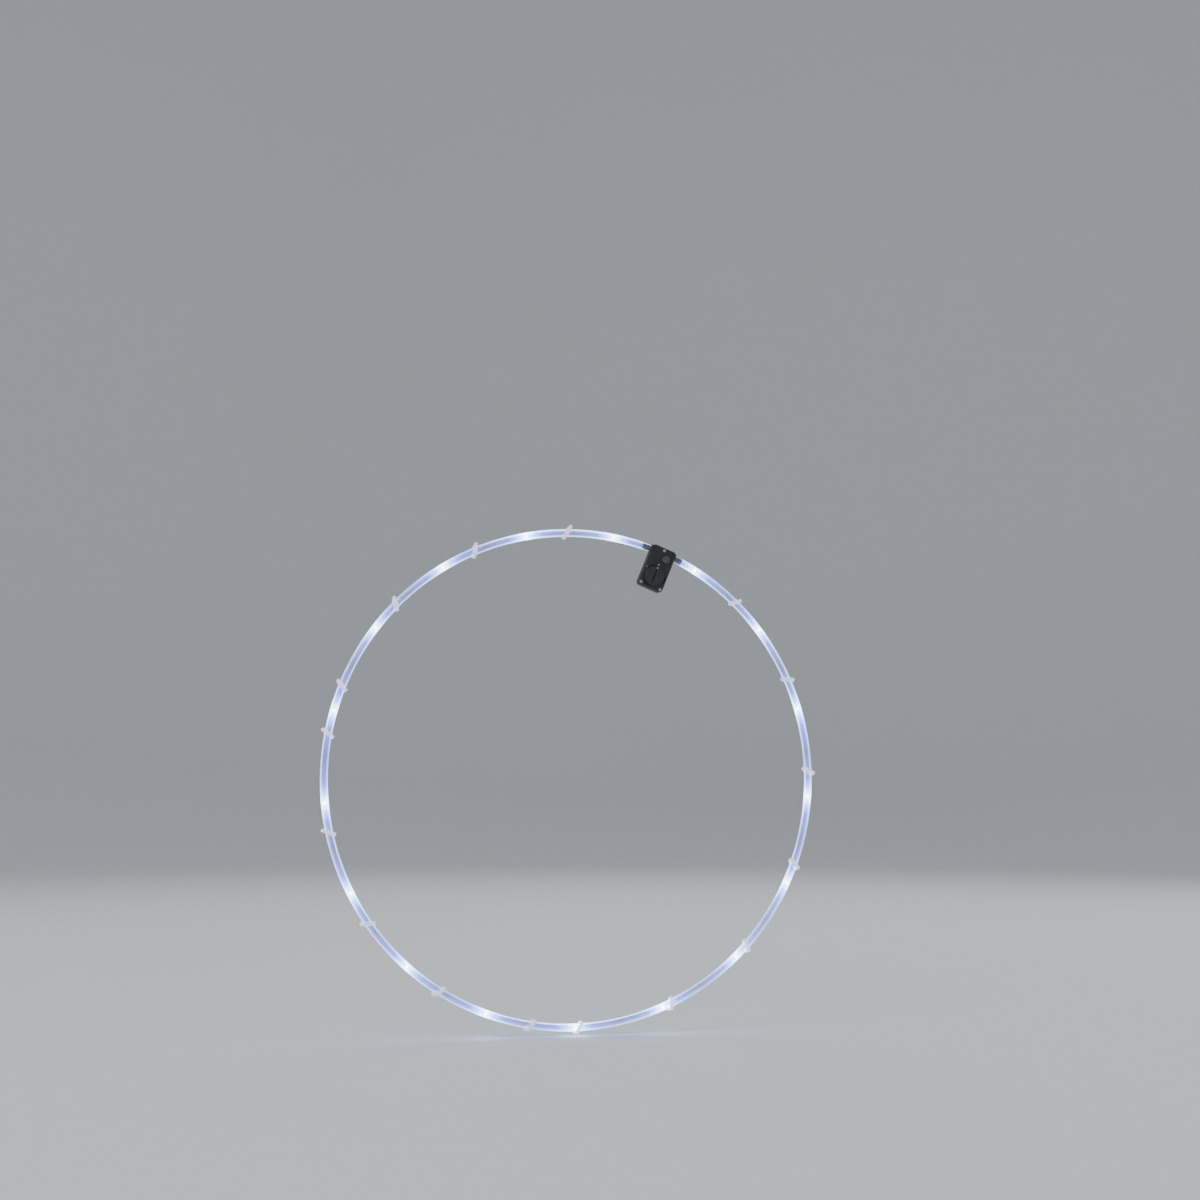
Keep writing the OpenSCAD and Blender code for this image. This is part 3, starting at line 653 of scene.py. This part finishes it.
def lookResistor():  # dark in the middle, with bare metal ends
    look, tree, shader = newLook("resistorBody", **{"Roughness": 0.4})
    angle, depth, out = ringPoint(tree)
    phase = lampPhase(tree, angle)
    bay = calc(tree, "SUBTRACT", phase, calc(tree, "ROUND", phase))
    bayLong = 2 * pi * ringSize["radius"] / ringSize["lampCount"]
    along = calc(tree, "SUBTRACT", calc(tree, "MULTIPLY", bay, bayLong), resistorMake["along"])
    ends = calc(tree, "GREATER_THAN", calc(tree, "ABSOLUTE", along), resistorMake["bareHalf"])
    grain = noise(tree, rolledOut(tree, angle, depth, out), 6000.0, detail=2.0)
    body = blendColour(tree, grain, resistorMake["dark"], resistorMake["light"])
    feed(tree, shader, {
        "Base Color": blendColour(tree, ends, body, resistorMake["bareTint"]),
        "Metallic": ends,
    })
    bump(tree, shader, grain, depth=0.00003, strength=0.5)
    return look


lampLooks = [lookLampBody(), lookLampDome(), lookSolder()]
lampOne, boardOne = lampTemplate(), boardTemplate()
boards = bmesh.new()
for number in range(1, ringSize["lampCount"] + 1):
    bm = bmesh.new()
    setDown(bm, lampOne, onRing(lampClock(number)))
    addPiece("lamp%02d" % number, bm, lampLooks, "ring", ["led_%02d" % number])
    setDown(boards, boardOne, onRing(lampClock(number)))
addPiece("lampBoards", boards, [lookLampBoard(), lampLooks[2]], "ring", ["lamp_boards"])
bpy.data.meshes.remove(lampOne)
bpy.data.meshes.remove(boardOne)
roundedCopy("lampResistors", "lamp_resistors", lookResistor(), "ring", resistorMake["rounding"])
print("lamps made")

# Power box: moulded case and cap, rubber button and seals, metal, and the circuit

boxMake = {"caseRounding": 0.00014, "caseRoom": 3.0, "capRounding": 0.00012, "screwRounding": 0.00008}
mouldedFinish = {
    "boxMoulded": {
        "dark": (0.012, 0.012, 0.014), "light": (0.026, 0.026, 0.029), "worn": (0.13, 0.13, 0.135),
        "grain": 2600.0, "rounding": 0.0, "markFrom": -0.0075},
    "capMoulded": {
        "dark": (0.014, 0.014, 0.016), "light": (0.030, 0.030, 0.033), "worn": (0.14, 0.14, 0.145),
        "grain": 2600.0, "rounding": 0.0, "markFrom": -0.0085},
    "chipEpoxy": {
        "dark": (0.010, 0.010, 0.011), "light": (0.020, 0.020, 0.021), "worn": (0.05, 0.05, 0.05),
        "grain": 5200.0, "rounding": 0.0001},
    "switchShell": {
        "dark": (0.030, 0.030, 0.032), "light": (0.048, 0.048, 0.052), "worn": (0.12, 0.12, 0.12),
        "grain": 3800.0, "rounding": 0.0001},
    "switchStem": {
        "dark": (0.55, 0.53, 0.48), "light": (0.66, 0.64, 0.58), "worn": (0.75, 0.74, 0.70),
        "grain": 3800.0, "rounding": 0.0001},
}
markTint = (0.62, 0.63, 0.65)
capFinish = {"axis": (0.08792, 0.0, 0.21491), "turnMarks": 0.00042}  # the cap's middle, and the marks' pitch
rubberFinish = {
    "dust": (0.16, 0.15, 0.14),
    "sealRubber": {"dark": (0.020, 0.020, 0.021), "light": (0.040, 0.040, 0.041), "grain": 2200.0},
    "buttonRubber": {"dark": (0.050, 0.052, 0.056), "light": (0.085, 0.088, 0.094), "grain": 1800.0},
}
metalFinish = {
    "screwSteel": {"tint": (0.62, 0.62, 0.63), "brushed": (1, 1, 6)},
    "cellCan": {"tint": (0.72, 0.71, 0.69), "brushed": (1, 12, 1)},
    "contactNickel": {"tint": (0.70, 0.66, 0.56), "brushed": (1, 1, 8)},
}
circuitFinish = {
    "dark": (0.010, 0.075, 0.030), "light": (0.020, 0.120, 0.050), "lane": (0.030, 0.20, 0.08),
    "lanes": 420.0, "laneWidth": 0.03,
}
buttonMake = {
    "place": (0.01205, -0.0052),  # in the box, outwards and across
    "skirt": [(0.0, -0.0048), (0.0053, -0.0048), (0.0053, -0.0056), (0.0042, -0.0056), (0.0042, -0.00845)],
    "shoulder": (0.00385, -0.00845, 0.00035),  # radius and depth of its middle, and its rounding
    "shoulderTurns": (18, 36, 54, 72, 90),
    "top": -0.0088, "topShift": 0.0135, "topRadius": 0.0140, "topTurns": (15.2, 13, 10, 7, 4, 0),
    "steps": 64,
}


def buttonProfile():  # radius and depth
    reach, depth, radius = buttonMake["shoulder"]
    shoulder = [(reach + radius * cos(radians(turn)), depth - radius * sin(radians(turn)))
                for turn in buttonMake["shoulderTurns"]]
    ball, low = buttonMake["topRadius"], buttonMake["top"] - buttonMake["topShift"]
    crown = [(ball * sin(radians(turn)), low + ball * cos(radians(turn))) for turn in buttonMake["topTurns"]]
    return buttonMake["skirt"] + shoulder + crown


def turnedButton(look):
    bm = bmesh.new()
    verts = [bm.verts.new((radius, depth, 0)) for radius, depth in buttonProfile()]
    edges = [bm.edges.new(pair) for pair in zip(verts, verts[1:])]
    bmesh.ops.spin(bm, geom=verts + edges, cent=(0, 0, 0), axis=(0, 1, 0), angle=2 * pi,
                   steps=buttonMake["steps"], use_merge=True)
    bmesh.ops.remove_doubles(bm, verts=bm.verts, dist=1e-6)
    bmesh.ops.recalc_face_normals(bm, faces=bm.faces)
    outwards, across = buttonMake["place"]
    bmesh.ops.transform(bm, matrix=inBox() @ Matrix.Translation((outwards, 0, across)), verts=bm.verts)
    addPiece("buttonCap", bm, look, "button", ["push_button"], sharp=35)


def dress(look, *nodes):  # a finish for pieces that keep their CAD shape
    for node in nodes:
        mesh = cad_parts[node].data
        for index in range(len(mesh.materials)):
            mesh.materials[index] = look
        if not mesh.materials:
            mesh.materials.append(look)


def lookMoulded(name):
    finish = mouldedFinish[name]
    look, tree, shader = newLook(name, **{"Roughness": 0.5, "IOR": 1.52, "Specular IOR Level": 0.45})
    point = objectPoint(tree)
    fine = noise(tree, point, finish["grain"], detail=4.0, rough=0.62)
    broad = noise(tree, point, 130.0)
    slanted = objectPoint(tree, turn=(0.3, 0.5, 0.2), scale=(1, 1, 9))
    scuff = noise(tree, slanted, 240.0, detail=4.0, rough=0.7)
    tone = blendColour(tree, broad, finish["dark"], finish["light"])
    scuffed = ramp(tree, scuff, [(0.40, 0.0), (0.66, 1.0)])
    edge = calc(tree, "MULTIPLY", edgeMask(tree, width=0.0006, low=0.80, high=0.985), scuffed)
    tone = blendColour(tree, calc(tree, "MULTIPLY", edge, 0.7), tone, finish["worn"])
    if "markFrom" in finish:  # raised marks are printed pale
        raised = calc(tree, "LESS_THAN", pointParts(tree, point)["Y"], finish["markFrom"])
        tone = blendColour(tree, raised, tone, markTint)
    uneven = calc(tree, "MULTIPLY", calc(tree, "SUBTRACT", scuff, 0.5), 0.25)
    feed(tree, shader, {
        "Base Color": tone,
        "Roughness": calc(tree, "ADD", ramp(tree, fine, [(0.3, 0.42), (0.7, 0.60)]), uneven),
    })
    bump(tree, shader, fine, depth=0.00009, strength=0.8, rounding=finish["rounding"])
    return look


def lookCap():  # moulded, with fine turning marks round its axis
    look = lookMoulded("capMoulded")
    tree = look.node_tree
    toAxis = tuple(-part for part in capFinish["axis"])
    parts = pointParts(tree, objectPoint(tree, shift=toAxis))
    turns = calc(tree, "MULTIPLY", reachFromAxis(tree, parts), 2 * pi / capFinish["turnMarks"])
    rings = calc(tree, "MULTIPLY", calc(tree, "SINE", turns), 0.22)
    grain = tree.nodes["Principled BSDF"].inputs["Normal"].links[0].from_node
    height = calc(tree, "ADD", grain.inputs["Height"].links[0].from_socket, rings)
    tree.links.new(height, grain.inputs["Height"])
    return look


def lookRubber(name):
    finish = rubberFinish[name]
    look, tree, shader = newLook(name, **{
        "Roughness": 0.75, "Sheen Weight": 0.15, "Sheen Roughness": 0.5, "IOR": 1.43})
    point = objectPoint(tree)
    fine = noise(tree, point, finish["grain"])
    dust = ramp(tree, noise(tree, point, 300.0, detail=4.0, rough=0.7), [(0.55, 0.0), (0.85, 0.35)])
    tone = blendColour(tree, fine, finish["dark"], finish["light"])
    feed(tree, shader, {
        "Base Color": blendColour(tree, dust, tone, rubberFinish["dust"]),
        "Roughness": ramp(tree, fine, [(0.3, 0.66), (0.7, 0.86)]),
    })
    bump(tree, shader, fine, depth=0.00003, strength=0.6, rounding=0.0003)
    return look


def lookMetal(name):
    tint = metalFinish[name]["tint"]
    look, tree, shader = newLook(name, **{"Metallic": 1.0, "Roughness": 0.3})
    brush = noise(tree, objectPoint(tree, scale=metalFinish[name]["brushed"]), 1800.0, detail=4.0, rough=0.6)
    stain = ramp(tree, noise(tree, objectPoint(tree), 260.0), [(0.5, 0.0), (0.8, 0.5)])
    tone = blendColour(tree, brush, darker(tint, 0.80), tint)
    feed(tree, shader, {
        "Base Color": blendColour(tree, stain, tone, darker(tint, 0.55)),
        "Roughness": ramp(tree, brush, [(0.3, 0.22), (0.7, 0.42)]),
    })
    bump(tree, shader, brush, depth=0.00002, strength=0.5, rounding=0.00012)
    return look


def lookCircuit():
    look, tree, shader = newLook("circuitMask", **{"Roughness": 0.3})
    point = objectPoint(tree, turn=(radians(90), radians(-ringSize["boxClock"]), 0))
    lanes = addNode(tree, "TexBrick", {"Vector": point}, Scale=circuitFinish["lanes"])
    lanes.inputs["Mortar Size"].default_value = circuitFinish["laneWidth"]
    weave = noise(tree, point, 3200.0, detail=2.0)
    base = blendColour(tree, weave, circuitFinish["dark"], circuitFinish["light"])
    feed(tree, shader, {
        "Base Color": blendColour(tree, lanes.outputs["Fac"], base, circuitFinish["lane"]),
        "Roughness": ramp(tree, weave, [(0.3, 0.24), (0.7, 0.38)]),
    })
    bump(tree, shader, calc(tree, "ADD", weave, lanes.outputs["Fac"]), depth=0.00003, strength=0.5)
    return look


boxLook = lookMoulded("boxMoulded")
roundedCopy("boxShell", "box_body", boxLook, "ring",
            boxMake["caseRounding"], boxMake["caseRoom"])
roundedCopy("boxFace", "front_plate", boxLook, "ring", boxMake["caseRounding"])
roundedCopy("capCover", "battery_cap", lookCap(), "cap", boxMake["capRounding"])
turnedButton(lookRubber("buttonRubber"))
screwLook = lookMetal("screwSteel")
roundedCopy("faceScrews", "plate_screws", screwLook, "ring", boxMake["screwRounding"])
dress(lookRubber("sealRubber"), "front_gasket", "cap_seal")
dress(lookMetal("cellCan"), "coin_cell_back", "coin_cell_front")
dress(lookMetal("contactNickel"), "negative_leaf", "positive_clip")
dress(lookCircuit(), "circuit_board")
dress(lookMoulded("chipEpoxy"), "driver_chip")
dress(lookMoulded("switchShell"), "switch_body")
dress(lookMoulded("switchStem"), "switch_stem")
print("power box dressed")

# Pale round backdrop and soft light

studio = {
    "floor": -0.2688, "flat": 4.0, "curve": 2.0, "curveSteps": 12, "wall": 4.0, "steps": 72,
    "tint": (0.76, 0.77, 0.78), "paper": 40.0,
    "sky": (0.62, 0.66, 0.72), "skyStrength": 0.60,
    "lights": [  # name, place, size, power and tint
        ("keyPanel", (-1.8, -2.2, 2.2), 2.2, 46.0, (1.0, 0.98, 0.95)),
        ("fillPanel", (2.6, -1.2, 1.2), 2.0, 22.0, (0.92, 0.96, 1.0)),
        ("backPanel", (0.6, 2.4, 2.4), 2.0, 30.0, (0.96, 0.98, 1.0)),
        ("leftEdge", (-2.6, 1.2, 0.9), 2.2, 14.0, (0.95, 0.97, 1.0)),
        ("rightEdge", (2.8, 1.2, 0.9), 2.2, 14.0, (0.95, 0.97, 1.0)),
    ],
}


def backdropProfile():  # radius and height: a flat floor, a curve and a wall
    flat, curve, floor = studio["flat"], studio["curve"], studio["floor"]
    turns = [radians(90 * step / studio["curveSteps"]) for step in range(1, studio["curveSteps"] + 1)]
    bend = [(flat + curve * sin(turn), floor + curve * (1 - cos(turn))) for turn in turns]
    return [(0, floor), (flat, floor)] + bend + [(flat + curve, floor + curve + studio["wall"])]


def lookBackdrop():
    look, tree, shader = newLook("paleBackdrop", **{"Roughness": 0.85, "Specular IOR Level": 0.2})
    paper = noise(tree, objectPoint(tree), studio["paper"])
    feed(tree, shader, {"Base Color": blendColour(tree, paper, darker(studio["tint"], 0.98), studio["tint"])})
    return look


bm = bmesh.new()
verts = [bm.verts.new((radius, 0, height)) for radius, height in backdropProfile()]
edges = [bm.edges.new(pair) for pair in zip(verts, verts[1:])]
bmesh.ops.spin(bm, geom=verts + edges, cent=(0, 0, 0), axis=(0, 0, 1), angle=2 * pi,
               steps=studio["steps"], use_merge=True)
bmesh.ops.remove_doubles(bm, verts=bm.verts, dist=1e-5)
bmesh.ops.recalc_face_normals(bm, faces=bm.faces)
mesh = bpy.data.meshes.new("paleBackdrop")
bm.to_mesh(mesh)
bm.free()
mesh.shade_smooth()
mesh.materials.append(lookBackdrop())
backdrop = bpy.data.objects.new("paleBackdrop", mesh)
bpy.context.scene.collection.objects.link(backdrop)

world = bpy.data.worlds.new("studioAir")
world.use_nodes = True
air = world.node_tree.nodes["Background"]
air.inputs["Color"].default_value = (*studio["sky"], 1)
air.inputs["Strength"].default_value = studio["skyStrength"]
bpy.context.scene.world = world
for name, place, size, power, tint in studio["lights"]:
    panel = bpy.data.lights.new(name, "AREA")
    panel.shape = "DISK"
    panel.size = size
    panel.energy = power
    panel.color = tint
    stand = bpy.data.objects.new(name, panel)
    stand.location = place
    stand.visible_camera = False
    stand.rotation_euler = (-Vector(place)).to_track_quat("-Z", "Y").to_euler()
    bpy.context.scene.collection.objects.link(stand)
print("studio set")
